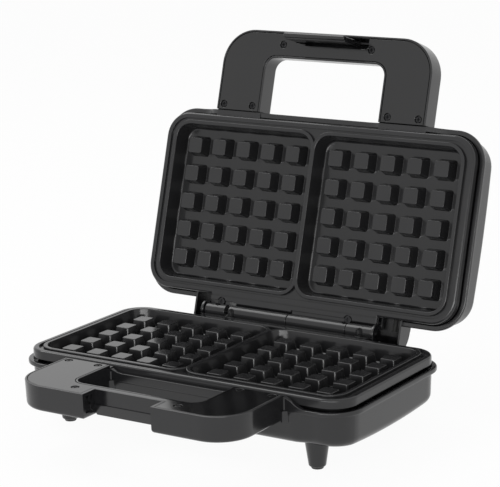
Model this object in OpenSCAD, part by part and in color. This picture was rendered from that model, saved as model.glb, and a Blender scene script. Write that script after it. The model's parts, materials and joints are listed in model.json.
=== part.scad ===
// Two-waffle maker: a hinged pair of baking plates in moulded housings, lid standing open.
// Everything is drawn closed first, about the parting plane z = 0 between the two plates,
// with the wells centred on y = 0 and the handles towards -Y. place_base() and place_lid()
// then stand it on its feet and swing the lid open about the hinge pin.

/* [Housing] */
// Width over the lip
lip_width = 249; // [244:1:260]
// Depth over the lip
lip_depth = 132; // [130:1:140]
// Plan radius of the lip's corners
lip_corner = 22; // [18:1:28]
// Height from the parting plane to a housing's outer face
housing_height = 31.4; // [30:0.2:38]
// Wall of the mouldings
wall = 2.2; // [1.8:0.1:2.6]
// Radius where a housing's wall turns into its outer face
housing_round = 6; // [4:0.5:8]
// How far a housing's outer face bulges along its middle
belly = 3; // [0:0.5:4]

/* [Baking plates] */
// Pegs along each side of a well
peg_count = 5; // [3:1:5]
// Peg pitch across the width
pitch_x = 20; // [18:0.1:20]
// Peg pitch front to back
pitch_y = 19.7; // [18:0.1:20]
// Width of a peg at its foot
peg_foot = 16.3; // [14:0.1:16.5]
// Width of a peg at its top
peg_top = 11.7; // [9:0.1:13]
// Height of a peg above the well floor
peg_height = 9.1; // [7:0.1:10]
// Depth of a well below the bead
well_depth = 11.8; // [11:0.1:13]
// Thickness of the cast floor
floor_thickness = 3; // [2.5:0.1:4]
// Gap between the two beads when shut
seam_gap = 0.4; // [0.2:0.1:0.8]

/* [Hinge] */
// How far the lid stands open
open_angle = 106.75; // [0:0.25:106.75]
// Hinge pin's distance behind the well centres
hinge_y = 73; // [72:0.5:76]
// Radius of the hinge barrels
barrel_r = 4.8; // [4:0.1:5]
// Radius of the hinge pin
pin_r = 2; // [1.5:0.1:2.5]

/* [Handles] */
// Reach of the grips in front of the well centres
handle_reach = 123; // [122:0.5:130]
// Half the width over the legs
leg_out = 82; // [78:0.5:83]
// Half the width of the finger gap
leg_in = 46.6; // [46.2:0.2:49]
// Grip from front to back
grip_depth = 18.5; // [17:0.5:20]
// Thickness of a handle
handle_thick = 16.6; // [16:0.2:18]

/* [Feet] */
// Height of a foot with its tip
foot_height = 18.5; // [14:0.5:24]
// Foot radius at the housing
foot_top_r = 7.7; // [7:0.1:7.7]
// Foot radius at its lower end
foot_low_r = 5.3; // [4.5:0.1:6]

/* [Hidden] */

black = [0.09, 0.09, 0.095];
coating = [0.13, 0.13, 0.135];
steel = [0.72, 0.73, 0.75];
$fn = 48;

// Steps along each rounded corner of a plan outline
corner_steps = 8;
running = 0.05;

// Heights below the parting plane, for the lower half
bead_z = -seam_gap / 2;
floor_z = bead_z - well_depth;
peg_z = floor_z + peg_height;
underside_z = floor_z - floor_thickness;
flange_z = -1.1;
flange_thick = 2.5;
skirt_z = -7;
outer_z = -housing_height;
inner_z = outer_z + wall;
lip_z = -9.95;
lip_r = 1.5;
wall_inset = 3.9;
ground_z = outer_z - foot_height;
belly_reach = 62;
// What the floor inside gives up of the bulge, so that it lies flat near the rear wall
belly_spare = 1.3;

// Plan sizes of the plate
bead_half = [114.5, 57];
bead_corner = 13;
bead_width = 2.3;
crest_width = 2.2;
well_draft = 3.8;
plate_half = [120.8, 62];
plate_corner = 17;
skirt_thick = 2.2;
well_half = [(bead_half[0] - bead_width - crest_width / 2) / 2, bead_half[1] - bead_width];
well_x = crest_width / 2 + well_half[0];
peg_x = 17 + pitch_x * (peg_count - 1) / 2;

// Hinge
lower_segments = [[-46.6, -0.3], [46.1, 65.5]];
upper_segments = [[-45.8, -0.2], [49.6, 65.5]];
flange_end = 66;
web_z = [-5, -2.2];
relief_gap = 0.5;
relief_thick = 1.8;
barrel_end = 65.5;
lower_screws = [-44, 57];
upper_screws = [-44, 56.5];
screw_y = 66.6;
cheek_r = 6.3;
arm_x = [66, 81.5];
open_stop = 106.75;
stop_slope = tan(open_stop / 2);
stop_gap = 0.15;

// Handles
root_y = -lip_depth / 2;
outer_corner = 24;
inner_corner = 8;
grip_in = -handle_reach + grip_depth;
cover_z = -0.9;
cover_thick = 2;
cover_inset = 1.5;
handle_floor = cover_z - handle_thick;
root_screws = [[76.4, -70], [53.2, -70], [-53.2, -70], [-76.4, -70]];
lower_cover_screws = concat(root_screws, [[38, -113.2], [-38, -113.2]]);
upper_cover_screws = concat(root_screws, [[34.5, -113.8], [-34.5, -113.8]]);
bolt_x = 64.6;
bolt_z = -10.4;
seat_thick = 5.8;
seat_half = 18.5;
notch_half = 25;
notch_y = -111.5;

// Latch, in the upper handle
pocket_half = 31.5;
pocket_in = -115.8;
pocket_out = -121.3;
pocket_z = 12;
latch_pivot = [-118.5, 5.9];
latch_half = 23.5;
latch_pin_r = 1.5;

// Heating
element_r = 3.3;
element_z = underside_z - element_r;
element_path = [
    [-14, 47, element_z], [-14, 30, element_z], [-82, 30, element_z], [-82, -30, element_z],
    [82, -30, element_z], [82, 30, element_z], [14, 30, element_z], [14, 47, element_z]
];
reflector_z = -24.8;
reflector_half = [108, 46];
reflector_rim = 3;

// Feet, posts and cord inlet
tip_height = 1.5;
foot_places = [[-94.3, -48.4], [94.3, -48.4], [-73.75, 72], [73.75, 72]];
gland_x = -28;
gland_z = -20;
cord_r = 3.5;
lamp_y = -44;
post_places = [for (x = [-98, 98], y = [-38, 38]) [x, y]];

// [height, inset] up a handle's skin, from its rounded outer face to the cover
handle_round = 2.5;
handle_draft = 0.5;
handle_levels = concat(
    [for (a = [0:22.5:90])
        [handle_floor + handle_round * (1 - cos(a)), handle_draft + handle_round * (1 - sin(a))]],
    [[cover_z - 0.6, 0], [cover_z, 0.5]]
);

// The base arms or the open lid's grip reach furthest back, so they set the whole's middle.
arm_rear = 13;
rear_reach = hinge_y + max(concat([arm_rear], [
    for (l = handle_levels)
        (l[1] - handle_reach - hinge_y) * cos(open_angle) - l[0] * sin(open_angle)
]));
middle_y = (rear_reach - handle_reach) / 2;

// ---- placing ----

module place_base() {
    translate([0, -middle_y, -ground_z]) children();
}

module place_lid() {
    place_base()
        translate([0, hinge_y, 0])
            rotate([-open_angle, 0, 0])
                translate([0, -hinge_y, 0]) children();
}

// Turns a piece drawn as a lower one over into its upper twin
module turn_over() {
    mirror([0, 0, 1]) children();
}

// Extrudes a (y, z) outline from x0 to x1
module along_x(x0, x1) {
    translate([x0, 0, 0]) rotate([90, 0, 90]) linear_extrude(x1 - x0) children();
}

// Extrudes an (x, z) outline from y0 to y1
module along_y(y0, y1) {
    translate([0, y1, 0]) rotate([90, 0, 0]) linear_extrude(y1 - y0) children();
}

// A box given by its low and high corners
module block(low, high) {
    translate(low) cube(high - low);
}

// ---- outlines ----

function arc(centre, r, a0, a1, steps = corner_steps) = [
    for (i = [0:steps])
        let (a = a0 + (a1 - a0) * i / steps) centre + r * [cos(a), sin(a)]
];

function rounded_rect(half, r) = concat(
    arc([half[0] - r, half[1] - r], r, 0, 90),
    arc([r - half[0], half[1] - r], r, 90, 180),
    arc([r - half[0], r - half[1]], r, 180, 270),
    arc([half[0] - r, r - half[1]], r, 270, 360)
);

function at(points, z, x = 0) = [for (p = points) [p[0] + x, p[1], z]];

// An S between two points, level at both ends
function ease(p, q, steps = 8) = [
    for (i = [0:steps])
        let (t = i / steps, s = t * t * (3 - 2 * t))
            [p[0] + (q[0] - p[0]) * t, p[1] + (q[1] - p[1]) * s]
];

// One face over a ring of n points, or a strip of them from one of its sides to the other
function whole_cap(n) = [[for (i = [0:n - 1]) i]];
function strip_cap(n) = [for (k = [0:n / 2 - 2]) [k, k + 1, n - 2 - k, n - 1 - k]];

// A closed skin through rings of equal count, the lowest first
module loft(rings, strip = false, level = true) {
    n = len(rings[0]);
    m = len(rings);
    low = strip ? strip_cap(n) : whole_cap(n);
    high = [for (face = low) [for (i = [len(face) - 1:-1:0]) (m - 1) * n + face[i]]];
    corners = [
        for (k = [0:m - 2], i = [0:n - 1])
            [k * n + i, (k + 1) * n + i, (k + 1) * n + (i + 1) % n, k * n + (i + 1) % n]
    ];
    sides = level
        ? corners
        : [for (c = corners) each [[c[0], c[1], c[2]], [c[0], c[2], c[3]]]];
    polyhedron([for (r = rings) each r], concat(low, sides, high));
}

// Points with each inner corner of a path cut by a curve
function smooth(path, cut, steps = 4) = concat(
    [path[0]],
    [
        for (i = [1:len(path) - 2])
            let (
                a = path[i - 1] - path[i],
                b = path[i + 1] - path[i],
                p = path[i] + a / norm(a) * cut,
                q = path[i] + b / norm(b) * cut
            )
                for (k = [0:steps])
                    let (t = k / steps)
                        p * (1 - t) * (1 - t) + path[i] * 2 * t * (1 - t) + q * t * t
    ],
    [path[len(path) - 1]]
);

// A round tube along a path that never runs straight along the side vector
module tube(path, r, side = [0, 0, 1], sides = 10) {
    last = len(path) - 1;
    loft([
        for (i = [0:last])
            let (
                way = path[min(i + 1, last)] - path[max(i - 1, 0)],
                u = cross(side, way),
                a = u / norm(u),
                b = cross(way, a) / norm(way)
            )
                [for (k = [0:sides - 1]) path[i] + r * (a * cos(360 * k / sides) + b * sin(360 * k / sides))]
    ]);
}

// ---- housings ----

// [height, inset from the lip, bulge] of the outer skin, from the outer face to the lip's top
function skin_levels() = concat(
    [for (a = [0:22.5:90])
        [outer_z + housing_round * (1 - cos(a)), wall_inset + housing_round * (1 - sin(a)), belly]],
    [[lip_z - lip_r - 1, wall_inset - 0.5, 0]],
    [for (a = [-90:30:90]) [lip_z + lip_r * sin(a), lip_r * (1 - cos(a)), 0]]
);

function cavity_levels() = concat(
    [for (a = [0:30:90])
        [inner_z + 4 * (1 - cos(a)), wall_inset + wall + 4 * (1 - sin(a)), belly]],
    [[lip_z - 1, wall_inset + wall - 0.5, 0], [lip_z + 0.4, 3.2, 0], [lip_z + 3, 3.2, 0]]
);

// How far the face bulges at a distance from the middle, out of its full bulge
function bulge_at(y, full, spare = 0) = max(0, full * (1 - pow(y / belly_reach, 2)) - spare);

// The plan of a level, from its front right corner round by the rear to the front left one
function level_ring(level, spare = 0) =
    let (
        half = [lip_width / 2 - level[1], lip_depth / 2 - level[1]],
        r = lip_corner - level[1],
        c = half - [r, r],
        side = [for (k = [-0.75:0.25:0.75]) k * c[1]],
        plan = concat(
            arc([c[0], -c[1]], r, 270, 360),
            [for (y = side) [half[0], y]],
            arc(c, r, 0, 90),
            arc([-c[0], c[1]], r, 90, 180),
            [for (y = side) [-half[0], -y]],
            arc(-c, r, 180, 270)
        )
    )
        [for (p = plan) [p[0], p[1], level[0] - bulge_at(p[1], level[2], spare)]];

// Front rim: low outside the legs, high beside them and a little lower between
module front_rim() {
    right = concat(
        ease([41, -5.4], [49, -2.15]),
        ease([84, -2.15], [93, lip_z + 1]),
        [[97, lip_z + 1], [97, lip_z - 1]]
    );
    left = [for (i = [len(right) - 1:-1:0]) [-right[i][0], right[i][1]]];
    along_y(-lip_depth / 2 + 0.8, -lip_depth / 2 + 3.2)
        polygon(concat(right, left));
}

// The stretch of the front wall that stands flush with the lip and sinks back towards the corners
module front_bulge() {
    y0 = -lip_depth / 2;
    flush_end = 86;
    sunk_end = 106;
    edge = ease([flush_end, y0 - 0.4], [sunk_end, y0 + wall_inset]);
    other_edge = [for (i = [len(edge) - 1:-1:0]) [-edge[i][0], edge[i][1]]];
    intersection() {
        along_x(-sunk_end, sunk_end)
            polygon(concat(
                [[y0 + 5, lip_z - 0.45], [y0 + 0.4, lip_z + 0.05], [y0 - 0.3, lip_z - 0.65]],
                [[y0 + 0.3, outer_z + 7]],
                arc([y0 + 6.3, outer_z + 7], 6, 180, 240, 4),
                [[y0 + 5, outer_z + 2]]
            ));
        translate([0, 0, outer_z])
            linear_extrude(-outer_z)
                polygon(concat([[-sunk_end, y0 + 5]], other_edge, edge, [[sunk_end, y0 + 5]]));
    }
}

// Seats for the handle roots, with the bolt's way through
module leg_seats() {
    for (s = [-1, 1])
        translate([s * bolt_x, root_y, handle_floor - 1]) {
            block([-seat_half, 0, 0], [seat_half, seat_thick - 2.3, -2.15 - handle_floor + 1]);
            block([-seat_half, 0, 0], [seat_half, seat_thick, skirt_z - 0.6 - handle_floor + 1]);
        }
}

module bolt_ways() {
    for (s = [-1, 1])
        translate([s * bolt_x, root_y - 1, bolt_z])
            rotate([-90, 0, 0]) cylinder(r = 2.1, h = 12);
}

module skin() {
    loft([for (l = skin_levels()) level_ring(l)], strip = true, level = false);
}

module shell() {
    difference() {
        skin();
        loft([for (l = cavity_levels()) level_ring(l, belly_spare)], strip = true, level = false);
    }
}

// What both housings share, drawn as the lower one
module housing_body(screws) {
    difference() {
        union() {
            shell();
            front_rim();
            front_bulge();
            leg_seats();
            for (p = post_places)
                translate([p[0], p[1], inner_z - 1]) cylinder(r = 4, h = underside_z - inner_z + 1);
            for (x = screws)
                translate([x, screw_y, -20]) cylinder(r = 3.8, h = 20 + web_z[0]);
            for (x = [-20, 20])
                block([x - 7, -63.5, -9.2], [x + 7, -57.5, -7.4]);
        }
        bolt_ways();
        for (x = screws)
            translate([x, screw_y, -16]) cylinder(r = 1.2, h = 20);
        for (s = [-1, 1])
            translate([s * bolt_x, 0, 0]) block([-seat_half, root_y - 4, outer_z - 1], [seat_half, root_y, 0]);
    }
}

// Half-plane beyond the stop line, as seen along the pin
module past_stop() {
    far = 60;
    polygon([
        [hinge_y - far, far * stop_slope - stop_gap],
        [hinge_y + far, -far * stop_slope - stop_gap],
        [hinge_y + far, far * 3],
        [hinge_y - far, far * 3]
    ]);
}

// Hollow tower at the rear of the base, with the pin's cheek on its inner wall
module base_arm() {
    rear = hinge_y + arm_rear;
    difference() {
        union() {
            along_x(arm_x[0], arm_x[1])
                difference() {
                    polygon(concat(
                        [[62, -8.9], [62, outer_z]],
                        arc([rear - 6, outer_z + 6], 6, 270, 360, 6),
                        [[rear, -8.9]]
                    ));
                    past_stop();
                }
            along_x(arm_x[0], arm_x[0] + 2)
                difference() {
                    translate([hinge_y - cheek_r, -9.5]) square([2 * cheek_r, 9.5]);
                    past_stop();
                }
            translate([arm_x[0], hinge_y, 0]) rotate([0, 90, 0]) cylinder(r = cheek_r, h = 2);
        }
        block([arm_x[0] + 2, 58, -26], [arm_x[1] - 2, rear - 2, 2]);
        translate([arm_x[0] - 1, hinge_y, 0]) rotate([0, 90, 0]) cylinder(r = pin_r + running, h = 4);
    }
}

// Hollow arm at the rear of the lid that wraps the pin from outside
module lid_arm() {
    difference() {
        along_x(arm_x[0], arm_x[1])
            difference() {
                union() {
                    translate([61, -20]) square([8, 13.3]);
                    intersection() {
                        translate([69, -4]) circle(r = 16);
                        translate([61, -20.5]) square([40, 13.8]);
                    }
                }
                past_stop();
            }
        along_x(arm_x[0] + 2, arm_x[1] - 2) {
            translate([58, -18]) square([11, 15]);
            intersection() {
                translate([69, -4]) circle(r = 14);
                translate([58, -18]) square([40, 15]);
            }
        }
        block([arm_x[0] - 1, 55, skirt_z - 0.4], [arm_x[1] + 1, plate_half[1] + 0.4, 5]);
    }
}

module base_housing() {
    color(black)
        place_base() {
            difference() {
                union() {
                    housing_body(lower_screws);
                    base_arm();
                    mirror([1, 0, 0]) base_arm();
                    for (p = [foot_places[0], foot_places[1]])
                        translate([p[0], p[1], outer_z]) cylinder(r = foot_top_r + 0.5, h = 4);
                }
                for (s = [-1, 1])
                    translate([s * 73.75, 0, 0]) block([-5.75, 55, -26], [5.75, 68, -14]);
                translate([gland_x, 55, gland_z]) rotate([-90, 0, 0]) cylinder(r = 5, h = 12);
            }
        }
}

module lid_housing() {
    color(black)
        place_lid()
            turn_over()
                difference() {
                    union() {
                        housing_body([for (x = upper_screws) -x]);
                        lid_arm();
                        mirror([1, 0, 0]) lid_arm();
                    }
                    for (s = [-1, 1])
                        translate([s * 73.75, 0, 0]) block([-5.75, 55, -18], [5.75, 64, -7]);
                    for (x = [-12, 12])
                        translate([x, lamp_y, outer_z - belly]) cylinder(r = 3.1, h = belly + 4);
                }
}

// ---- plates ----

// Side view of one row of pegs
module comb(pitch, middle) {
    chamfer = 0.5;
    for (i = [0:peg_count - 1])
        translate([middle + (i - (peg_count - 1) / 2) * pitch, 0])
            polygon([
                [-peg_foot / 2, floor_z - 0.5],
                [peg_foot / 2, floor_z - 0.5],
                [peg_foot / 2, floor_z],
                [peg_top / 2, peg_z - chamfer],
                [peg_top / 2 - chamfer, peg_z],
                [chamfer - peg_top / 2, peg_z],
                [-peg_top / 2, peg_z - chamfer],
                [-peg_foot / 2, floor_z]
            ]);
}

// Drafted pegs of one well: a comb across the width met by a comb front to back
module pegs(middle) {
    intersection() {
        along_y(-60, 60) comb(pitch_x, middle);
        along_x(middle - 60, middle + 60) comb(pitch_y, 0);
    }
}

module well(middle) {
    foot = [well_half[0] - well_draft, well_half[1] - well_draft];
    loft([
        at(rounded_rect(foot, 8), floor_z, middle),
        at(rounded_rect(well_half, 11), bead_z, middle),
        at(rounded_rect(well_half, 11), bead_z + 1, middle)
    ]);
}

module ring(half, r, inset, z0, z1) {
    translate([0, 0, z0])
        linear_extrude(z1 - z0)
            difference() {
                polygon(rounded_rect(half, r));
                polygon(rounded_rect(half - [inset, inset], r - inset));
            }
}

// Stretches of the pin that another plate's segments take, as seen from this plate
function across(segments) = [for (s = segments) [-s[1], -s[0]]];

// The edge that hugs the other plate's barrel, so that no light passes between the two
module relief(span) {
    along_x(span[0], span[1])
        polygon(concat(
            arc([hinge_y, 0], barrel_r + relief_gap, 192, 258),
            arc([hinge_y, 0], barrel_r + relief_gap + relief_thick, 258, 192)
        ));
    block([span[0], 60, -4.4], [span[1], hinge_y - barrel_r - relief_gap - 0.2, flange_z]);
}

// The cast plate, drawn as the lower one, with its barrels on the given stretches of the pin
module baking_plate(segments, screws, taken) {
    difference() {
        union() {
            difference() {
                loft([
                    at(rounded_rect(bead_half - [3.5, 3.5], bead_corner - 3.5), underside_z),
                    at(rounded_rect(bead_half, bead_corner), flange_z - 2),
                    at(rounded_rect(bead_half, bead_corner), bead_z)
                ]);
                well(well_x);
                well(-well_x);
            }
            pegs(peg_x);
            pegs(-peg_x);
            ring(plate_half, plate_corner, 6, flange_z - flange_thick, flange_z - 1);
            ring(plate_half, plate_corner, 4, flange_z - 1.5, flange_z);
            ring(plate_half, plate_corner, skirt_thick, skirt_z, flange_z - 1);
            block([-barrel_end, 60, -4.4], [barrel_end, flange_end, flange_z]);
            for (s = across(taken)) relief(s);
            for (s = segments) {
                block([s[0], 60, web_z[0]], [s[1], hinge_y, web_z[1]]);
                translate([s[0], hinge_y, 0]) rotate([0, 90, 0]) cylinder(r = barrel_r, h = s[1] - s[0]);
            }
            for (x = [-20, 20])
                block([x - 6, -60, -12.2], [x + 6, -50, -9.4]);
        }
        for (s = segments)
            translate([s[0] - 1, hinge_y, 0])
                rotate([0, 90, 0]) cylinder(r = pin_r + running, h = s[1] - s[0] + 2);
        for (x = screws) {
            translate([x, screw_y, -2.4]) cylinder(r = 3.2, h = 8);
            translate([x, screw_y, -6]) cylinder(r = 1.7, h = 5);
            translate([x, screw_y, -14]) cylinder(r = 4.1, h = 14 + web_z[0]);
        }
    }
}

module lower_plate() {
    color(coating) place_base() baking_plate(lower_segments, lower_screws, upper_segments);
}

module upper_plate() {
    color(coating)
        place_lid() rotate([0, 180, 0]) baking_plate(upper_segments, upper_screws, lower_segments);
}

module plate_screws(screws) {
    for (x = screws)
        translate([x, screw_y, 0]) {
            translate([0, 0, -2.4]) cylinder(r = 2.6, h = 1.6);
            translate([0, 0, -13]) cylinder(r = 1.2, h = 11);
        }
}

module lower_plate_screws() {
    color(steel) place_base() plate_screws(lower_screws);
}

module upper_plate_screws() {
    color(steel) place_lid() rotate([0, 180, 0]) plate_screws(upper_screws);
}

module hinge_pin() {
    ends = arm_x[0] + 2;
    color(steel)
        place_base()
            translate([0, hinge_y, 0])
                rotate([0, 90, 0]) {
                    translate([0, 0, -ends]) cylinder(r = pin_r, h = 2 * ends);
                    for (z = [-ends - 1, ends])
                        translate([0, 0, z]) cylinder(r = pin_r + 0.8, h = 1);
                }
}

// ---- heating ----

// Sheathed tube looped under both wells, with a cold pin at each end
module element() {
    tube(smooth(element_path, 12), element_r);
    for (x = [-14, 14])
        translate([x, 46, element_z]) rotate([-90, 0, 0]) cylinder(r = 1.6, h = 6, $fn = 24);
}

// Sheet tray that throws the heat back up
module reflector() {
    sheet = 0.8;
    difference() {
        translate([0, 0, reflector_z])
            linear_extrude(reflector_rim) polygon(rounded_rect(reflector_half, 12));
        translate([0, 0, reflector_z + sheet])
            linear_extrude(5) polygon(rounded_rect(reflector_half - [sheet, sheet], 12 - sheet));
        for (p = post_places)
            translate([p[0], p[1], reflector_z - 1]) cylinder(r = 4.4, h = 3);
    }
}

module lower_heating_element() {
    color(steel) place_base() element();
}

module upper_heating_element() {
    color(steel) place_lid() turn_over() element();
}

module lower_reflector() {
    color(steel) place_base() reflector();
}

module upper_reflector() {
    color(steel) place_lid() turn_over() reflector();
}

// ---- handles ----

// U-shaped plan, drawn in by inset on every side but the root
function handle_outline(inset, root = root_y) = concat(
    [[inset - leg_out, root]],
    arc([outer_corner - leg_out, outer_corner - handle_reach], outer_corner - inset, 180, 270),
    arc([leg_out - outer_corner, outer_corner - handle_reach], outer_corner - inset, 270, 360),
    [[leg_out - inset, root], [leg_in + inset, root]],
    arc([leg_in - inner_corner, grip_in + inner_corner], inner_corner + inset, 0, -90),
    arc([inner_corner - leg_in, grip_in + inner_corner], inner_corner + inset, 270, 180),
    [[-leg_in - inset, root]]
);

module handle_skin() {
    loft([for (l = handle_levels) at(handle_outline(l[1]), l[0])], strip = true);
}

// The grip moulding: a hollow U with bosses, open where the cover lies
module handle_body(screws) {
    difference() {
        handle_skin();
        difference() {
            translate([0, 0, handle_floor + wall])
                linear_extrude(handle_thick) polygon(handle_outline(wall + 0.9, root_y - 3));
            for (p = screws)
                translate([p[0], p[1], handle_floor]) cylinder(r = 3.2, h = handle_thick - cover_thick);
            for (s = [-1, 1])
                translate([s * bolt_x, root_y - 14, bolt_z]) rotate([-90, 0, 0]) cylinder(r = 4, h = 14);
            children();
        }
        translate([0, 0, cover_z - cover_thick])
            linear_extrude(5) polygon(handle_outline(cover_inset - 0.15, root_y + 1));
        for (p = screws)
            translate([p[0], p[1], handle_floor + 4]) cylinder(r = 1.2, h = 13);
        for (s = [-1, 1])
            translate([s * bolt_x, root_y - 12, bolt_z]) rotate([-90, 0, 0]) cylinder(r = 2, h = 16);
    }
}

module cover(screws) {
    head = 1.2;
    difference() {
        translate([0, 0, cover_z - cover_thick])
            linear_extrude(cover_thick) polygon(handle_outline(cover_inset, root_y - 0.2));
        for (p = screws)
            translate([p[0], p[1], cover_z - cover_thick - 1]) {
                cylinder(r = 1.5, h = 5);
                translate([0, 0, cover_thick + 1 - head]) cylinder(r = 2.7, h = 5);
            }
    }
}

module cover_fixings(screws) {
    for (p = screws)
        translate([p[0], p[1], 0]) {
            translate([0, 0, cover_z - 1.2]) cylinder(r = 2.5, h = 1);
            translate([0, 0, cover_z - 10]) cylinder(r = 1.2, h = 9);
        }
}

module root_bolts() {
    for (s = [-1, 1])
        translate([s * bolt_x, root_y - 10, bolt_z])
            rotate([-90, 0, 0]) {
                cylinder(r = 1.9, h = 10 + seat_thick);
                translate([0, 0, 10 + seat_thick]) cylinder(r = 3.6, h = 2.4);
            }
}

// Side view of the space in front of the strike nose, with the catch groove under it
module strike_notch() {
    along_x(-notch_half, notch_half)
        polygon([
            [-130, 2], [notch_y, 2], [notch_y, -9.9], [notch_y + 2.3, -9.9],
            [notch_y + 2.3, -11.8], [notch_y + 1.3, -11.8], [notch_y + 2.9, handle_floor - 1],
            [-130, handle_floor - 1]
        ]);
}

module lower_handle() {
    color(black)
        place_base()
            difference() {
                union() {
                    handle_body(lower_cover_screws)
                        block([-notch_half - 2, -130, handle_floor], [notch_half + 2, grip_in - 1, 0]);
                    block([-notch_half - 2, notch_y - 1, cover_z - cover_thick - 1],
                          [notch_half + 2, notch_y + 1, cover_z]);
                }
                strike_notch();
            }
}

module lower_handle_cover() {
    color(black)
        place_base()
            difference() {
                cover(lower_cover_screws);
                block([-notch_half - 2.2, -130, -5], [notch_half + 2.2, notch_y + 1.2, 2]);
            }
}

// Pocket in the grip that the latch swings in
module latch_pocket() {
    block([-pocket_half, pocket_out, -pocket_z], [pocket_half, pocket_in, 2]);
}

module upper_handle() {
    color(black)
        place_lid()
            turn_over()
                difference() {
                    handle_body(upper_cover_screws)
                        block([-pocket_half - wall, -130, -pocket_z - 2], [pocket_half + wall, pocket_in + wall, 0]);
                    latch_pocket();
                    translate([-pocket_half - 1.5, latch_pivot[0], -latch_pivot[1]])
                        rotate([0, 90, 0]) cylinder(r = latch_pin_r, h = 2 * pocket_half + 3);
                }
}

module upper_handle_cover() {
    color(black)
        place_lid()
            turn_over()
                difference() {
                    cover(upper_cover_screws);
                    block([-pocket_half, -130, -5], [pocket_half, pocket_in, 2]);
                }
}

module lower_handle_screws() {
    color(steel) place_base() cover_fixings(lower_cover_screws);
}

module upper_handle_screws() {
    color(steel) place_lid() turn_over() cover_fixings(upper_cover_screws);
}

module lower_handle_bolts() {
    color(steel) place_base() root_bolts();
}

module upper_handle_bolts() {
    color(steel) place_lid() turn_over() root_bolts();
}

module latch_pin() {
    color(steel)
        place_lid()
            translate([-pocket_half - 1.5, latch_pivot[0], latch_pivot[1]])
                rotate([0, 90, 0]) cylinder(r = latch_pin_r, h = 2 * pocket_half + 3);
}

// Clip that hangs from the upper grip and hooks under the lower one's nose
module handle_latch() {
    bar_y = latch_pivot[0] + 0.2;
    bar_z = -17;
    color(black)
        place_lid()
            difference() {
                union() {
                    block([-latch_half, latch_pivot[0] - 1.2, bar_z],
                          [latch_half, latch_pivot[0] + 1.2, latch_pivot[1]]);
                    translate([-latch_half, latch_pivot[0], latch_pivot[1]])
                        rotate([0, 90, 0]) cylinder(r = 2.4, h = 2 * latch_half);
                    translate([-latch_half, bar_y, bar_z])
                        rotate([0, 90, 0]) cylinder(r = 1.7, h = 2 * latch_half);
                    along_x(-3, 3)
                        translate([latch_pivot[0] + 1, 0])
                            polygon([[0, -11.9], [1.5, -11.9], [1.5, -12.7], [0, -14.5]]);
                }
                translate([-latch_half - 1, latch_pivot[0], latch_pivot[1]])
                    rotate([0, 90, 0]) cylinder(r = latch_pin_r + running, h = 2 * latch_half + 2);
            }
}

// ---- feet ----

module foot(i) {
    color(black)
        place_base()
            difference() {
                translate([foot_places[i][0], foot_places[i][1], ground_z + tip_height])
                    cylinder(r1 = foot_low_r, r2 = foot_top_r, h = foot_height - tip_height);
                skin();
            }
}

module front_left_foot() { foot(0); }
module front_right_foot() { foot(1); }
module rear_left_foot() { foot(2); }
module rear_right_foot() { foot(3); }

module foot_tips() {
    color([0.16, 0.16, 0.16])
        place_base()
            for (p = foot_places)
                translate([p[0], p[1], ground_z]) cylinder(r1 = 3.6, r2 = 4.4, h = tip_height);
}

// ---- controls and wiring ----

module thermostat() {
    color(steel)
        place_lid()
            turn_over()
                translate([0, 0, underside_z]) {
                    translate([0, 0, -1.2]) cylinder(r = 12, h = 1.2);
                    translate([0, 0, -7]) cylinder(r = 8.5, h = 6);
                }
}

module thermal_fuse() {
    color(steel)
        place_lid()
            turn_over()
                translate([24, 0, underside_z - 2]) {
                    rotate([0, 90, 0]) cylinder(r = 2, h = 12);
                    block([4, -4, 1], [8, 4, 2]);
                }
}

module lamp(x, tint) {
    proud = bulge_at(lamp_y, belly) + 0.8;
    color(tint)
        place_lid()
            turn_over()
                translate([x, lamp_y, outer_z]) {
                    translate([0, 0, -proud]) cylinder(r = 3, h = proud + wall + 1);
                    translate([0, 0, wall]) cylinder(r = 4.5, h = 3);
                }
}

module power_lamp() { lamp(-12, [0.75, 0.1, 0.08]); }
module ready_lamp() { lamp(12, [0.15, 0.6, 0.2]); }

module terminal_block() {
    color([0.9, 0.88, 0.8])
        place_base()
            difference() {
                block([18, 46.8, inner_z], [52, 55.5, inner_z + 9]);
                for (x = [24, 35, 46])
                    translate([x, 45, inner_z + 5.5]) rotate([-90, 0, 0]) cylinder(r = 1.8, h = 13);
            }
}

module cord_gland() {
    color(black)
        place_base()
            translate([gland_x, 0, gland_z])
                difference() {
                    union() {
                        translate([0, 57, 0]) rotate([-90, 0, 0]) cylinder(r = 4.95, h = 6.5);
                        translate([0, 63, 0]) rotate([-90, 0, 0]) cylinder(r = 7, h = 3);
                        translate([0, 57, 0]) rotate([-90, 0, 0]) cylinder(r = 6, h = 2);
                    }
                    translate([0, 50, 0]) rotate([-90, 0, 0]) cylinder(r = cord_r, h = 20);
                }
}

// Leads that run along a path of points, each bend cut by the same curve
module leads(path, cut) {
    tube(smooth(path, cut), 1.6, sides = 8);
}

module base_wiring() {
    color([0.75, 0.75, 0.7])
        place_base() {
            leads([[gland_x, 56, gland_z], [gland_x, 51, -23], [-12, 51, -24.5], [16.5, 51, -24.5]], 2.4);
            leads([[53.5, 51, -24], [66, 52, -24], [73, 60, -22], [73.75, 72, -14]], 4);
        }
}

module lid_wiring() {
    color([0.75, 0.75, 0.7])
        place_lid()
            leads([[73.75, 70, 13], [73.75, 60, 14], [66, 53, 22], [32, 51, 20], [16.5, 51, -element_z]], 4);
}

// ---- the whole ----

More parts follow.
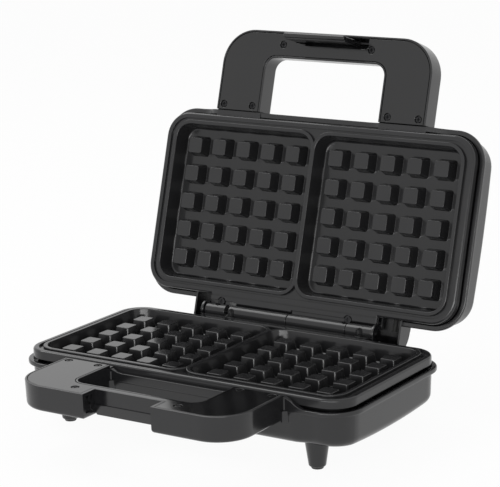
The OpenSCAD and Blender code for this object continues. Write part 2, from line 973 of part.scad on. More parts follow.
base_housing();
lower_plate();
lower_heating_element();
lower_reflector();
lower_handle();
lower_handle_cover();
lower_handle_screws();
lower_handle_bolts();
front_left_foot();
front_right_foot();
rear_left_foot();
rear_right_foot();
foot_tips();
hinge_pin();
lower_plate_screws();
terminal_block();
base_wiring();
cord_gland();
lid_housing();
upper_plate();
upper_heating_element();
upper_reflector();
upper_handle();
upper_handle_cover();
upper_handle_screws();
upper_handle_bolts();
upper_plate_screws();
thermostat();
thermal_fuse();
power_lamp();
ready_lamp();
lid_wiring();
latch_pin();
handle_latch();
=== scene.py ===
import json
import math

import bmesh
import bpy
from mathutils import Matrix, Vector


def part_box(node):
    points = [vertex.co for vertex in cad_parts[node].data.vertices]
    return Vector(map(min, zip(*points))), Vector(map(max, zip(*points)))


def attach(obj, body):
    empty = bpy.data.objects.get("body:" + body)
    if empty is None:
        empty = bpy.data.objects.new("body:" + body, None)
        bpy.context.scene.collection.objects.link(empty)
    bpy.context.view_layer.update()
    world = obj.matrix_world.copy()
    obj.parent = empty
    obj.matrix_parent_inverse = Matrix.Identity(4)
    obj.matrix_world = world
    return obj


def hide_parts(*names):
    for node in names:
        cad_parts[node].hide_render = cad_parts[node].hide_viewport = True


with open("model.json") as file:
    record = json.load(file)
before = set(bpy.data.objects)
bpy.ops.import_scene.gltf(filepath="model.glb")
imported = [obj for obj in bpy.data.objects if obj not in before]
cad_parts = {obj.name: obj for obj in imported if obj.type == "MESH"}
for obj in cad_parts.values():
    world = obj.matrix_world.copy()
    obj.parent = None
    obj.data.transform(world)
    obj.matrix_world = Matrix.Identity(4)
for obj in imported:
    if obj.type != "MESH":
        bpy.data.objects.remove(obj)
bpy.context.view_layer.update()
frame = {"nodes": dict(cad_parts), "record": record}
print("frame loaded:", len(frame["nodes"]), "solids")

# Pieces are drawn in millimetres with the maker shut: x across, -y to the grips,
# z = 0 where the two plates meet and y = 0 through the middle of the wells.
hinge = {"behind": 73.0, "opening": 106.75, "barrelRadius": 4.8}

pinLow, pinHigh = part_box("hinge_pin")
pinAt = Vector((0, (pinLow[1] + pinHigh[1]) / 2, (pinLow[2] + pinHigh[2]) / 2))
backToWells = Matrix.Translation((0, -hinge["behind"] / 1000, 0))
millimetres = Matrix.Scale(0.001, 4)
onBase = Matrix.Translation(pinAt) @ backToWells @ millimetres
swing = Matrix.Rotation(-math.radians(hinge["opening"]), 4, "X")
onLid = Matrix.Translation(pinAt) @ swing @ backToWells @ millimetres
turnedOver = onLid @ Matrix.Scale(-1, 4, (0, 0, 1))
turnedRound = onLid @ Matrix.Rotation(math.pi, 4, "Y")


# camera, in metres and degrees, with azimuth 0 at the front
cameraSetup = {
    "azimuth": 33.10,
    "elevation": 13.31,
    "roll": -1.31,
    "distance": 1.2562,
    "aim": (0.0176, pinAt.y - hinge["behind"] / 1000, 0.1209),
    "lens": 143.1,
    "sensor": 36,
    "clip": (0.05, 20),
}


def placeFacing(thing, aim, azimuth, elevation, distance, roll=0):
    # stands a camera or a lamp off from a point and turns it to face that point
    a, e = math.radians(azimuth), math.radians(elevation)
    away = Vector((math.sin(a) * math.cos(e), -math.cos(a) * math.cos(e), math.sin(e)))
    look = (-away).to_track_quat("-Z", "Y").to_matrix().to_4x4()
    turn = Matrix.Rotation(math.radians(roll), 4, "Z")
    thing.matrix_world = Matrix.Translation(Vector(aim) + away * distance) @ look @ turn
    bpy.context.collection.objects.link(thing)


def setUpCamera():
    c = cameraSetup
    data = bpy.data.cameras.new("camera")
    data.lens = c["lens"]
    data.sensor_width = c["sensor"]
    data.clip_start, data.clip_end = c["clip"]
    camera = bpy.data.objects.new("camera", data)
    placeFacing(camera, c["aim"], c["azimuth"], c["elevation"], c["distance"], c["roll"])
    bpy.context.scene.camera = camera


setUpCamera()
print("camera ready")


def linear(hexColour):
    # sRGB hex to the linear colour that Blender works in
    parts = [int(hexColour[i:i + 2], 16) / 255 for i in (1, 3, 5)]
    return (*[p / 12.92 if p <= 0.04045 else ((p + 0.055) / 1.055) ** 2.4 for p in parts], 1)


def addNode(tree, kind, settings=(), inputs=(), links=()):
    node = tree.nodes.new(kind)
    for key, value in dict(settings).items():
        setattr(node, key, value)
    for key, value in dict(inputs).items():
        node.inputs[key].default_value = value
    for key, socket in dict(links).items():
        tree.links.new(socket, node.inputs[key])
    return node


def newMaterial(name, settings):
    material = bpy.data.materials.new(name)
    material.use_nodes = True
    tree = material.node_tree
    shader = tree.nodes["Principled BSDF"]
    for key, value in settings.items():
        shader.inputs[key].default_value = value
    return material, tree, shader


def wearPattern(tree, shader, pattern, colours, gloss=None, relief=None):
    # colour and roughness that run with one pattern, and a relief (height, strength, depth in mm)
    tint = addNode(
        tree, "ShaderNodeMix", {"data_type": "RGBA"},
        {6: linear(colours[0]), 7: linear(colours[1])}, {0: pattern},
    )
    tree.links.new(tint.outputs[2], shader.inputs["Base Color"])
    if gloss:
        # noise keeps mostly between 0.3 and 0.7
        rough = addNode(
            tree, "ShaderNodeMapRange",
            inputs={"From Min": 0.3, "From Max": 0.7, "To Min": gloss[0], "To Max": gloss[1]},
            links={"Value": pattern},
        )
        tree.links.new(rough.outputs["Result"], shader.inputs["Roughness"])
    if relief:
        height, strength, depthMm = relief
        bump = addNode(
            tree, "ShaderNodeBump",
            inputs={"Strength": strength, "Distance": depthMm / 1000}, links={"Height": height},
        )
        tree.links.new(bump.outputs["Normal"], shader.inputs["Normal"])
    return tint.outputs[2]


def mouldedPlastic(name, colours, gloss, grainMm, grainDepth, flowMm):
    # fine spark-eroded grain in the skin, with slow cloudy changes of gloss from the melt's flow
    material, tree, shader = newMaterial(name, {"IOR": 1.53, "Metallic": 0})
    coords = {"Vector": addNode(tree, "ShaderNodeTexCoord").outputs["Object"]}
    flow = addNode(tree, "ShaderNodeTexNoise", inputs={"Scale": 1000 / flowMm, "Detail": 3}, links=coords)
    grain = addNode(
        tree, "ShaderNodeTexNoise",
        inputs={"Scale": 1000 / grainMm, "Detail": 4, "Roughness": 0.6}, links=coords,
    )
    wearPattern(tree, shader, flow.outputs["Fac"], colours, gloss, (grain.outputs["Fac"], 0.35, grainDepth))
    return material


nonStick = {
    "colours": ("#222223", "#282829"), "gloss": (0.13, 0.18), "cloudMm": 22.22,
    "peelMm": 1.818, "peelDepth": 0.03, "flakeMm": 0.5, "flakeColour": "#4a4a4b", "flakeShare": 0.08,
}


def nonStickCasting():
    # sprayed fluoropolymer over cast aluminium: a soft sheen with a faint orange peel
    n = nonStick
    material, tree, shader = newMaterial("sprayed non-stick on cast aluminium", {"IOR": 1.43, "Metallic": 0})
    coords = {"Vector": addNode(tree, "ShaderNodeTexCoord").outputs["Object"]}
    # flakes of 0.02 mm can't show, so they are drawn 0.5 mm wide
    flakes = addNode(tree, "ShaderNodeTexVoronoi", inputs={"Scale": 1000 / n["flakeMm"]}, links=coords)
    peel, cloud = [
        addNode(tree, "ShaderNodeTexNoise", inputs={"Scale": 1000 / size, "Detail": detail}, links=coords)
        for size, detail in ((n["peelMm"], 2), (n["cloudMm"], 3))
    ]
    relief = (peel.outputs["Fac"], 0.15, n["peelDepth"])
    coat = wearPattern(tree, shader, cloud.outputs["Fac"], n["colours"], n["gloss"], relief)
    fleck = addNode(
        tree, "ShaderNodeMapRange",
        inputs={"From Min": 0.0, "From Max": 0.25, "To Min": n["flakeShare"], "To Max": 0.0},
        links={"Value": flakes.outputs["Distance"]},
    )
    flecked = addNode(
        tree, "ShaderNodeMix", {"data_type": "RGBA"},
        {7: linear(n["flakeColour"])}, {0: fleck.outputs["Result"], 6: coat},
    )
    tree.links.new(flecked.outputs[2], shader.inputs["Base Color"])
    return material


def metal(name, colours, gloss, streakMm, streakLong=50):
    # drawn or rolled metal: streaks along x that change its gloss
    material, tree, shader = newMaterial(name, {"Metallic": 1})
    stretch = addNode(
        tree, "ShaderNodeMapping",
        inputs={"Scale": (1000 / streakLong, 1000 / streakMm, 1000 / streakMm)},
        links={"Vector": addNode(tree, "ShaderNodeTexCoord").outputs["Object"]},
    )
    streaks = addNode(
        tree, "ShaderNodeTexNoise",
        inputs={"Scale": 1.0, "Detail": 4}, links={"Vector": stretch.outputs["Vector"]},
    ).outputs["Fac"]
    wearPattern(tree, shader, streaks, colours, gloss, (streaks, 0.2, 0.02))
    return material


def waveScale(spacingMm):
    # a wave texture of scale 1 repeats every pi / 10
    return 100 * math.pi / spacingMm


def wovenSleeve(threadMm=0.982):
    # glass-fibre sleeving over the leads: two crossing sets of threads
    sleeve = {"IOR": 1.5, "Roughness": 0.8}
    material, tree, shader = newMaterial("woven glass-fibre sleeve, black", sleeve)
    coords = {"Vector": addNode(tree, "ShaderNodeTexCoord").outputs["Object"]}
    threads = []
    for slope in (1, -1):
        turn = addNode(
            tree, "ShaderNodeMapping", inputs={"Rotation": (0, 0, slope * math.radians(45))}, links=coords,
        )
        threads.append(addNode(
            tree, "ShaderNodeTexWave",
            inputs={"Scale": waveScale(threadMm), "Distortion": 0.4},
            links={"Vector": turn.outputs["Vector"]},
        ).outputs["Fac"])
    weave = addNode(
        tree, "ShaderNodeMath", {"operation": "MAXIMUM"}, links={0: threads[0], 1: threads[1]},
    ).outputs[0]
    wearPattern(tree, shader, weave, ("#151515", "#2b2b2a"), relief=(weave, 0.6, 0.1))
    return material


def tintedLens(name, colours, ribMm=1.745):
    # clear tinted acrylic with faint ribs inside
    acrylic = {"IOR": 1.49, "Roughness": 0.08, "Transmission Weight": 0.35}
    material, tree, shader = newMaterial(name, acrylic)
    ribs = addNode(
        tree, "ShaderNodeTexWave",
        inputs={"Scale": waveScale(ribMm)},
        links={"Vector": addNode(tree, "ShaderNodeTexCoord").outputs["Object"]},
    )
    wearPattern(tree, shader, ribs.outputs["Fac"], colours)
    return material


materials = {
    "housing_plastic": mouldedPlastic(
        "moulded heat-resistant polyester, satin black", ("#131314", "#18181a"), (0.17, 0.23),
        grainMm=0.5, grainDepth=0.012, flowMm=22,
    ),
    "cover_plastic": mouldedPlastic(
        "moulded phenolic cover, smooth black", ("#121213", "#171718"), (0.10, 0.14),
        grainMm=0.6, grainDepth=0.006, flowMm=30,
    ),
    "latch_plastic": mouldedPlastic(
        "moulded nylon latch, glossy black", ("#131314", "#181819"), (0.14, 0.20),
        grainMm=0.7, grainDepth=0.008, flowMm=18,
    ),
    "nonstick_plate": nonStickCasting(),
    "rubber_tip": mouldedPlastic(
        "moulded silicone rubber, matt black", ("#161616", "#1c1c1c"), (0.55, 0.7),
        grainMm=0.4, grainDepth=0.03, flowMm=8,
    ),
    "terminal_plastic": mouldedPlastic(
        "moulded polyamide, natural", ("#cfc9b6", "#ddd8c8"), (0.35, 0.45),
        grainMm=0.6, grainDepth=0.02, flowMm=10,
    ),
    "black_screw": metal("black-oxide steel", ("#29292a", "#363637"), (0.28, 0.40), streakMm=0.3),
    "steel": metal("drawn steel", ("#9a9b9e", "#bcbdc0"), (0.22, 0.34), streakMm=0.3),
    "element_sheath": metal("heat-tinted steel sheath", ("#6d675f", "#96908a"), (0.35, 0.5), streakMm=0.6),
    "reflector_sheet": metal("rolled aluminium sheet", ("#c3c5c8", "#dcdddf"), (0.18, 0.30), streakMm=0.8),
    "wire_sleeve": wovenSleeve(),
    "red_lens": tintedLens("red acrylic lens", ("#7d0c0a", "#b8150f")),
    "green_lens": tintedLens("green acrylic lens", ("#0d5a1c", "#16862c")),
}
print("materials:", len(materials))


# shaping helpers
def roundCorners(bm, verts, radius, steps=8):
    # rounds corner points of a flat face and gives the face back
    made = bmesh.ops.bevel(
        bm, geom=verts, offset=radius, offset_type="OFFSET", segments=steps,
        profile=0.5, affect="VERTICES", material=-1, clamp_overlap=False,
    )
    return made["verts"][0].link_faces[0]


def roundedFace(bm, half, radius, z, centre=(0, 0), steps=8):
    verts = bmesh.ops.create_grid(bm, x_segments=1, y_segments=1, size=1)["verts"]
    bmesh.ops.scale(bm, vec=(half[0], half[1], 1), verts=verts)
    bmesh.ops.translate(bm, vec=(centre[0], centre[1], z), verts=verts)
    return roundCorners(bm, verts, radius, steps)


def stepFace(bm, face, steps):
    # each step draws the face in and moves it up, leaving a wall behind it
    for inward, up in steps:
        bmesh.ops.inset_region(bm, faces=[face], thickness=inward, use_even_offset=True, use_boundary=True)
        bmesh.ops.translate(bm, vec=(0, 0, up), verts=face.verts)


def taperFace(bm, face, factor, up):
    # one drafted wall that narrows evenly towards the middle of the face
    bmesh.ops.inset_region(bm, faces=[face], thickness=0, use_even_offset=True, use_boundary=True)
    middle = face.calc_center_median()
    bmesh.ops.scale(bm, vec=(factor, factor, 1), space=Matrix.Translation(-middle), verts=face.verts)
    bmesh.ops.translate(bm, vec=(0, 0, up), verts=face.verts)


def roundOver(radius, up, steps=3):
    # quarter-round steps that draw a wall in by its radius; up is 1 or -1
    angles = [math.pi / 2 * i / steps for i in range(steps + 1)]
    return [
        (radius * (math.cos(a) - math.cos(b)), up * radius * (math.sin(b) - math.sin(a)))
        for a, b in zip(angles, angles[1:])
    ]


def rollIn(radius, steps=3):
    # quarter-round steps that turn a flat rim down into a wall
    return [(up, -inward) for inward, up in roundOver(radius, 1, steps)]


def arc(centre, radius, start, end, steps):
    angles = [math.radians(start + (end - start) * i / steps) for i in range(steps + 1)]
    return [(centre[0] + radius * math.cos(a), centre[1] + radius * math.sin(a)) for a in angles]


def openEdges(bm, z, side=0):
    # open edges at one height, on one side of the middle or on both
    return [
        e for e in bm.edges
        if e.is_boundary and all(abs(v.co.z - z) < 0.001 and v.co.x * side >= 0 for v in e.verts)
    ]


def fillFlat(bm, edges):
    bmesh.ops.triangle_fill(bm, use_beauty=True, use_dissolve=False, edges=edges, normal=(0, 0, 1))


def dropFace(bm, face):
    bmesh.ops.delete(bm, geom=[face], context="FACES_ONLY")


def mergeDoubles(bm):
    bmesh.ops.remove_doubles(bm, verts=bm.verts, dist=0.001)


def cutFlat(bm, geom, point, normal, clear=False):
    # cuts along a plane; with clear, what is beyond it goes and the cut is closed
    made = bmesh.ops.bisect_plane(
        bm, geom=geom, dist=0.0001, plane_co=point, plane_no=normal, clear_outer=clear,
    )
    if clear:
        cut = [g for g in made["geom_cut"] if isinstance(g, bmesh.types.BMEdge)]
        bmesh.ops.edgeloop_fill(bm, edges=cut)


def softEdges(bm, verts, bevel, steps=2, only=None):
    edges = {e for v in verts for e in v.link_edges}
    edges = [e for e in edges if only is None or only(e)]
    bmesh.ops.bevel(
        bm, geom=edges, offset=bevel, offset_type="OFFSET", segments=steps,
        profile=0.5, affect="EDGES", material=-1, clamp_overlap=True,
    )


def box(bm, low, high, bevel=0.0):
    verts = bmesh.ops.create_cube(bm, size=1)["verts"]
    bmesh.ops.scale(bm, vec=[b - a for a, b in zip(low, high)], verts=verts)
    bmesh.ops.translate(bm, vec=[(a + b) / 2 for a, b in zip(low, high)], verts=verts)
    if bevel:
        softEdges(bm, verts, bevel)


def boxAtSide(bm, side, low, high, bevel=0.0):
    # a box drawn for the right-hand side and put on either
    x = sorted((side * low[0], side * high[0]))
    box(bm, (x[0], *low[1:]), (x[1], *high[1:]), bevel)


def rod(bm, radius, start, end, sides=32, radiusEnd=None):
    # round bar between two points
    start, end = Vector(start), Vector(end)
    turn = (end - start).to_track_quat("Z", "Y").to_matrix().to_4x4()
    return bmesh.ops.create_cone(
        bm, cap_ends=True, segments=sides, radius1=radius,
        radius2=radius if radiusEnd is None else radiusEnd,
        depth=(end - start).length, matrix=Matrix.Translation((start + end) / 2) @ turn,
    )["verts"]


def barAcross(bm, radius, y, z, start, end, sides, bevel, steps=2):
    # round bar along x with the edges of its ends softened
    verts = rod(bm, radius, (start, y, z), (end, y, z), sides)
    softEdges(bm, verts, bevel, steps, lambda e: abs(e.verts[0].co.x - e.verts[1].co.x) < 0.01)


def pull(bm, face, move, closed=True):
    # draws a face out with walls behind it and gives back the face at the far end;
    # closed leaves the first face in its place
    made = bmesh.ops.extrude_face_region(bm, geom=[face])["geom"]
    far = next(g for g in made if isinstance(g, bmesh.types.BMFace))
    bmesh.ops.translate(bm, vec=move, verts=far.verts)
    if not closed:
        dropFace(bm, face)
    return far


def slab(bm, outline, axis, start, length, rounds=None):
    # an outline pulled along an axis; its points are (y, z) along x, (x, z) along y and (x, y) along z,
    # and rounds gives the radius of each point that is rounded, by the point's number
    place, move = {
        "x": (lambda a, b: (start, a, b), (length, 0, 0)),
        "y": (lambda a, b: (a, start, b), (0, length, 0)),
        "z": (lambda a, b: (a, b, start), (0, 0, length)),
    }[axis]
    points = [bm.verts.new(place(a, b)) for a, b in outline]
    face = bm.faces.new(points)
    rounds = rounds or {}
    for radius in sorted(set(rounds.values())):
        face = roundCorners(bm, [points[i] for i in rounds if rounds[i] == radius], radius, 6)
    near = list(face.verts)
    return near + list(pull(bm, face, move).verts)


def join(bm, other):
    mesh = bpy.data.meshes.new("part")
    other.to_mesh(mesh)
    other.free()
    bm.from_mesh(mesh)
    bpy.data.meshes.remove(mesh)


def asObject(bm, name):
    bmesh.ops.recalc_face_normals(bm, faces=bm.faces)
    mesh = bpy.data.meshes.new(name)
    bm.to_mesh(mesh)
    made = bpy.data.objects.new(name, mesh)
    bpy.context.collection.objects.link(made)
    return made


def carve(bm, tool, operation="DIFFERENCE"):
    # takes the tool's shape out of bm, both still in millimetres
    body, cutter = asObject(bm, "body"), asObject(tool, "cutter")
    modifier = body.modifiers.new("carve", "BOOLEAN")
    modifier.operation = operation
    modifier.object = cutter
    modifier.solver = "EXACT"
    modifier.use_self = True
    ready = body.evaluated_get(bpy.context.evaluated_depsgraph_get())
    bm.clear()
    bm.from_mesh(ready.to_mesh())
    ready.to_mesh_clear()
    tool.free()
    for used in (body, cutter):
        mesh = used.data
        bpy.data.objects.remove(used)
        bpy.data.meshes.remove(mesh)


def makePiece(name, bm, place, body, slotName, stands, soften=0.0, sharp=34):
    # stands names the solid that the piece takes the place of
    bmesh.ops.transform(bm, matrix=place, verts=bm.verts)
    piece = asObject(bm, name)
    bm.free()
    piece.data.materials.append(materials[slotName])
    piece.data.shade_smooth()
    piece.data.set_sharp_from_angle(angle=math.radians(sharp))
    if soften:
        bevel = piece.modifiers.new("soft edges", "BEVEL")
        bevel.width = soften / 1000
        bevel.segments = 2
        bevel.limit_method = "ANGLE"
        bevel.angle_limit = math.radians(sharp + 4)
        bevel.miter_outer = "MITER_ARC"
    normals = piece.modifiers.new("even shading", "WEIGHTED_NORMAL")
    normals.keep_sharp = True
    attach(piece, body)
    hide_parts(*stands)
    print("made", name)


# baking plates
plate = {
    # flange with its rounded edge, the skirt below it and the cast body inside the skirt
    "flange": (120.8, 62.0), "flangeCorner": 17.0, "flangeTop": -1.1, "edgeRadius": 1.6, "land": 1.9,
    "skirtBottom": -7.0, "skirt": 2.2, "skirtEdge": 0.2, "skirtInside": 3.2,
    "bodyGap": 2.8, "bodyDraft": 3.4, "bodyDepth": 11.4,
    # channel round the beads, and the beads themselves
    "channel": -2.5, "channelEdge": 0.2, "channelDraft": 0.05,
    "bead": 2.3, "beadTop": -0.2, "beadDraft": 0.12, "beadEdge": 0.45,
    # wells
    "wellHalf": (55.55, 54.7), "wellX": 56.65, "wellCorner": 11.0, "depth": 11.8,
    "wellEdge": 0.55, "wellDraft": 1.85, "wellFoot": 1.4,
    # pegs; the fillet is given as steps inward and up
    "pitch": (20.0, 19.7), "firstPeg": 17.0, "pegFoot": 14.4, "pegCorner": 2.2,
    "pegFillet": [(0.25, 0.1), (0.15, 0.25)], "pegTaper": 0.79, "pegRise": 8.25, "pegEdge": 0.5,
    # tongue that carries the barrels, with a groove between it and the flange
    "tongue": (65.5, 66.0), "tongueUnder": -4.4, "groove": (0.5, 0.9, -2.6),
    "web": (-5.0, -2.2), "barrelEdge": 0.35, "hug": (0.9, 3.6), "hugBehind": 1.3,
    "screwY": 66.6, "screwRecess": 3.2, "screwSeat": -2.4,
    "lowerBarrels": [(-46.6, -0.3), (46.1, 65.5)], "lowerScrews": [-44.0, 57.0],
    "upperBarrels": [(-45.8, -0.2), (49.6, 65.5)], "upperScrews": [-44.0, 56.5],
}


def flangeAndBody(bm):
    p = plate
    edgeZ = p["flangeTop"] - p["edgeRadius"]
    small = p["skirtEdge"]
    # skirt, underside of the flange and the cast body below it
    under = roundedFace(bm, p["flange"], p["flangeCorner"], edgeZ, steps=12)
    stepFace(bm, under, [
        (0, p["skirtBottom"] + small - edgeZ), (small, -small), (p["skirt"] - 2 * small, 0), (small, small),
        (0, p["skirtInside"]), (p["bodyGap"], 0), (p["bodyDraft"], -p["bodyDepth"]),
    ])
    # rounded upper edge, a flat land and the channel round the beads
    over = roundedFace(bm, p["flange"], p["flangeCorner"], edgeZ, steps=12)
    fall = p["channel"] - p["flangeTop"] + p["channelEdge"]
    stepFace(bm, over, roundOver(p["edgeRadius"], 1, 5) + [(p["land"], 0)])
    stepFace(bm, over, rollIn(p["channelEdge"], 2) + [(p["channelDraft"], fall)])
    dropFace(bm, over)


def bead(bm):
    # a ridge round each well, the two grown together in the middle
    p = plate
    half = [size + p["bead"] for size in p["wellHalf"]]
    for side in (1, -1):
        centre = (side * p["wellX"], 0)
        ridge = roundedFace(bm, half, p["wellCorner"] + p["bead"], p["channel"], centre)
        bmesh.ops.bisect_plane(
            bm, geom=[ridge, *ridge.edges, *ridge.verts], dist=0.0001, plane_co=(0, 0, 0),
            plane_no=(-side, 0, 0), clear_outer=True,
        )
    mergeDoubles(bm)

    def flatFaces():
        at = p["channel"]
        return [f for f in bm.faces if abs(f.normal.z) > 0.9 and abs(f.calc_center_median().z - at) < 0.01]

    one, other = flatFaces()
    bmesh.ops.dissolve_edges(bm, edges=[e for e in one.edges if e in other.edges], use_verts=False)
    ridge = flatFaces()[0]
    rise = p["beadTop"] - p["channel"] - p["beadEdge"]
    stepFace(bm, ridge, [(p["beadDraft"], rise)] + roundOver(p["beadEdge"], 1, 3))
    dropFace(bm, ridge)
    fillFlat(bm, openEdges(bm, p["channel"]))


def wells(bm):
    # drafted walls with a rounded foot, and five rows of five pegs in each
    p = plate
    floorZ = p["beadTop"] - p["depth"]
    wall = p["depth"] - p["wellEdge"] - p["wellFoot"]
    pegHalf = (p["pegFoot"] / 2, p["pegFoot"] / 2)
    for side in (1, -1):
        floor = roundedFace(bm, p["wellHalf"], p["wellCorner"], p["beadTop"], (side * p["wellX"], 0))
        stepFace(bm, floor, rollIn(p["wellEdge"]) + [(p["wellDraft"], -wall)])
        stepFace(bm, floor, roundOver(p["wellFoot"], -1, 4))
        dropFace(bm, floor)
        for i in range(5):
            for j in range(5):
                at = (side * (p["firstPeg"] + i * p["pitch"][0]), (j - 2) * p["pitch"][1])
                peg = roundedFace(bm, pegHalf, p["pegCorner"], floorZ, at, steps=5)
                stepFace(bm, peg, p["pegFillet"])
                taperFace(bm, peg, p["pegTaper"], p["pegRise"])
                stepFace(bm, peg, roundOver(p["pegEdge"], 1, 3))
        fillFlat(bm, openEdges(bm, floorZ, side))
    fillFlat(bm, openEdges(bm, p["beadTop"]))
    mergeDoubles(bm)


def hingeCasting(bm, barrels, otherBarrels):
    p = plate
    behind, radius = hinge["behind"], hinge["barrelRadius"]
    flangeRear = p["flange"][1]
    half, reach = p["tongue"]
    box(bm, (-half, flangeRear - 2, p["tongueUnder"]), (half, reach, p["flangeTop"]), 0.4)
    for start, end in barrels:
        box(bm, (start, reach - 1, p["web"][0]), (end, behind, p["web"][1]), 0.3)
        barAcross(bm, radius, behind, 0, start, end, 64, p["barrelEdge"])
    near, far = p["hug"]
    hug = arc((behind, 0), radius + near, 226, 258, 6) + arc((behind, 0), radius + far, 258, 220, 8)
    edgeRear = behind - radius - p["hugBehind"]
    for start, end in otherBarrels:
        # edge that hugs the other plate's barrel, which comes turned round, and closes the view between
        box(bm, (-end, flangeRear, p["tongueUnder"]), (-start, edgeRear, p["flangeTop"]), 0.3)
        slab(bm, hug, "x", -end, end - start)


def castPlate(barrels, screws, otherBarrels):
    p = plate
    bm = bmesh.new()
    flangeAndBody(bm)
    bead(bm)
    wells(bm)
    hingeCasting(bm, barrels, otherBarrels)
    tool = bmesh.new()
    for x in screws:
        rod(tool, p["screwRecess"], (x, p["screwY"], p["screwSeat"]), (x, p["screwY"], 8))
    # line where the flange ends and the tongue begins
    past, width, bottom = p["groove"]
    half = p["tongue"][0] + past
    box(tool, (-half, p["flange"][1], bottom), (half, p["flange"][1] + width, 2))
    carve(bm, tool)
    return bm


lowerPlate = castPlate(plate["lowerBarrels"], plate["lowerScrews"], plate["upperBarrels"])
upperPlate = castPlate(plate["upperBarrels"], plate["upperScrews"], plate["lowerBarrels"])
makePiece("lower_baking_plate", lowerPlate, onBase, "base", "nonstick_plate", ["lower_plate"], 0.15)
makePiece("upper_baking_plate", upperPlate, turnedRound, "lid", "nonstick_plate", ["upper_plate"], 0.15)


# housings
housing = {
    # rolled lip, from its edge down to the drafted wall
    "lip": (124.5, 66.0), "lipCorner": 22.0, "lipZ": -9.95, "lipEdge": 0.7, "lipRound": 0.8,
    "underLip": [(2.15, -0.1), (0.35, -0.15), (0.1, -0.45)], "lipFall": 2.2,
    "draft": 0.5, "outerZ": -31.4, "round": 6.0, "belly": 3.0, "bellyReach": 62.0,
    # inside of the lip and of the tray
    "lipRise": 0.75, "lipWidth": 2.25, "insideLip": [(0.2, -0.2), (0, -2.2), (2.4, -0.6)],
    "insideDepth": 13.75, "insideRound": 4.0, "floorThick": 1.3,
    # hinge arms, the ways into them from the housing, and screw bosses
    "armX": (66.0, 81.5), "armRear": 86.0, "armWall": 1.3, "stopZ": -0.15,
    "baseMouth": (-26, 68, -14), "lidMouth": (-18, 66, -5),
    "bossRadius": 3.8, "bossTop": -5.05, "bossFoot": -20.0,
    "lowerScrews": [-44.0, 57.0], "upperScrews": [-56.5, 44.0],
}
rim = {
    # raised front edge: low between the legs, high beside them, then down to the lip
    "low": -5.4, "high": -2.15, "overLip": 1.3, "foot": -11.0, "dip": 41, "leg": (49, 84), "fallen": 93,
    "end": 98, "dipRound": 4.0, "fallRound": 4.6, "front": -66.0, "thick": 3.2, "edge": 0.45,
}
bulge = {
    # front wall flush with the lip, sinking back into the housing towards the corners
    "flushEnd": 86.0, "sunkEnd": 106.0, "sink": 4.8, "steps": 10, "top": -0.35, "bottom": 0.4,
    "topFront": -66.3, "bottomFront": -65.7, "topRound": 0.9, "bottomRound": 6.0, "behind": (-60, -57),
}
seat = {
    # block that each leg of a grip stands on
    "low": (46.4, -66.25, -17.9), "high": (82.2, -61, -2.4), "edge": 0.5, "legs": (46.6, 82.0),
    # hollow fillets beside it: foot, top, the wall's y and the radius
    "upperFillets": [(-10.4, -4.9, -65.7, 1.6), (-10.4, -2.9, -65.7, 1.6)],
    "lowerFillet": (-17.2, -10.6, -66.3, 3.0), "inLeg": 0.6, "inWall": 1.0,
}


def bowOut(bm, below, spare):
    # the outer face bows out along its middle, from front to back
    for y in range(-60, 61, 6):
        cutFlat(bm, [*bm.faces, *bm.edges, *bm.verts], (0, y, 0), (0, 1, 0))
    for v in bm.verts:
        drop = housing["belly"] * (1 - (v.co.y / housing["bellyReach"]) ** 2) - spare
        if v.co.z < below and drop > 0:
            v.co.z -= drop


def housingShell():
    h = housing
    bm, inner = bmesh.new(), bmesh.new()
    outside = roundedFace(bm, h["lip"], h["lipCorner"], h["lipZ"], steps=14)
    down = h["outerZ"] + h["round"] - (h["lipZ"] - h["lipFall"])
    stepFace(bm, outside, [(0, -h["lipEdge"])] + roundOver(h["lipRound"], -1, 3) + h["underLip"])
    stepFace(bm, outside, [(h["draft"], down)] + roundOver(h["round"], -1, 7))
    bowOut(bm, h["outerZ"] + h["round"] + 0.01, 0)
    inside = roundedFace(inner, h["lip"], h["lipCorner"], h["lipZ"], steps=14)
    stepFace(inner, inside, [(0, h["lipRise"])] + roundOver(h["lipRise"], 1, 3) + [(h["lipWidth"], 0)])
    stepFace(inner, inside, h["insideLip"] + [(h["draft"], -h["insideDepth"])])
    stepFace(inner, inside, roundOver(h["insideRound"], -1, 4))
    bowOut(inner, h["outerZ"] + h["round"] + 0.3, h["floorThick"])
    join(bm, inner)
    mergeDoubles(bm)
    return bm


def frontRim(bm):
    r, lip = rim, housing["lipZ"] + rim["overLip"]
    legIn, legOut = r["leg"]
    right = [
        (r["dip"], r["low"]), (legIn, r["high"]), (legOut, r["high"]),
        (r["fallen"], lip), (r["end"], lip), (r["end"], r["foot"]),
    ]
    outline = [(-x, z) for x, z in reversed(right)] + right
    rounds = {i: r["dipRound"] for i, (x, z) in enumerate(outline) if abs(x) in (r["dip"], legIn)}
    rounds.update({i: r["fallRound"] for i, (x, z) in enumerate(outline) if abs(x) in (legOut, r["fallen"])})
    verts = slab(bm, outline, "y", r["front"], r["thick"], rounds)
    softEdges(bm, verts, r["edge"], 3, lambda e: all(abs(v.co.y - r["front"]) < 0.01 for v in e.verts))


